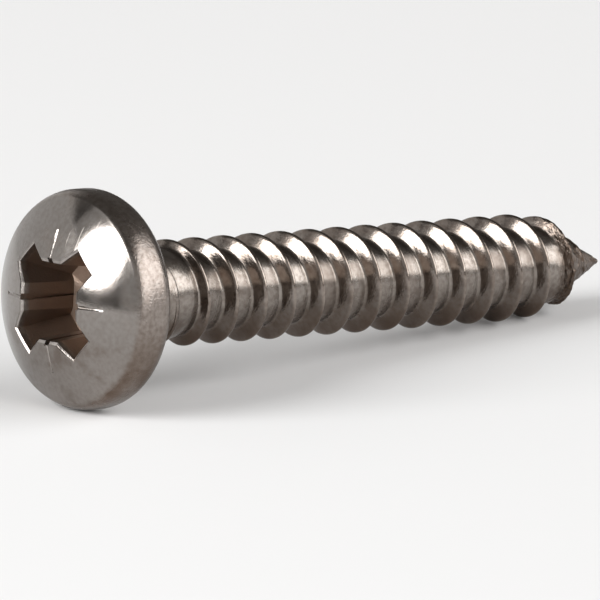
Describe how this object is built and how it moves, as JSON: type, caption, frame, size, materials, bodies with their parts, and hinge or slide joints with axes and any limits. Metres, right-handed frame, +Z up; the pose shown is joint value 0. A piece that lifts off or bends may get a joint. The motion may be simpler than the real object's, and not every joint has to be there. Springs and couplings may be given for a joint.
{
  "type": "sheet metal screw",
  "caption": "Stainless steel sheet metal screw with a domed pan head, a cross recess with marker lines, a coarse right-hand tapping thread and a sharp point, lying on its side.",
  "frame": {"origin": "on the bench, under the middle of the lying screw's box", "axes": "+X along the screw from its head towards its point, which lies lower than its head; +Z up"},
  "size_m": [0.0271, 0.0082, 0.0081],
  "materials": {
    "stainless_steel": "bright tumbled stainless steel: polished dome, fine grained rim and thread"
  },
  "bodies": {
    "root": {"sheet_metal_screw": "stainless_steel"}
  },
  "joints": []
}
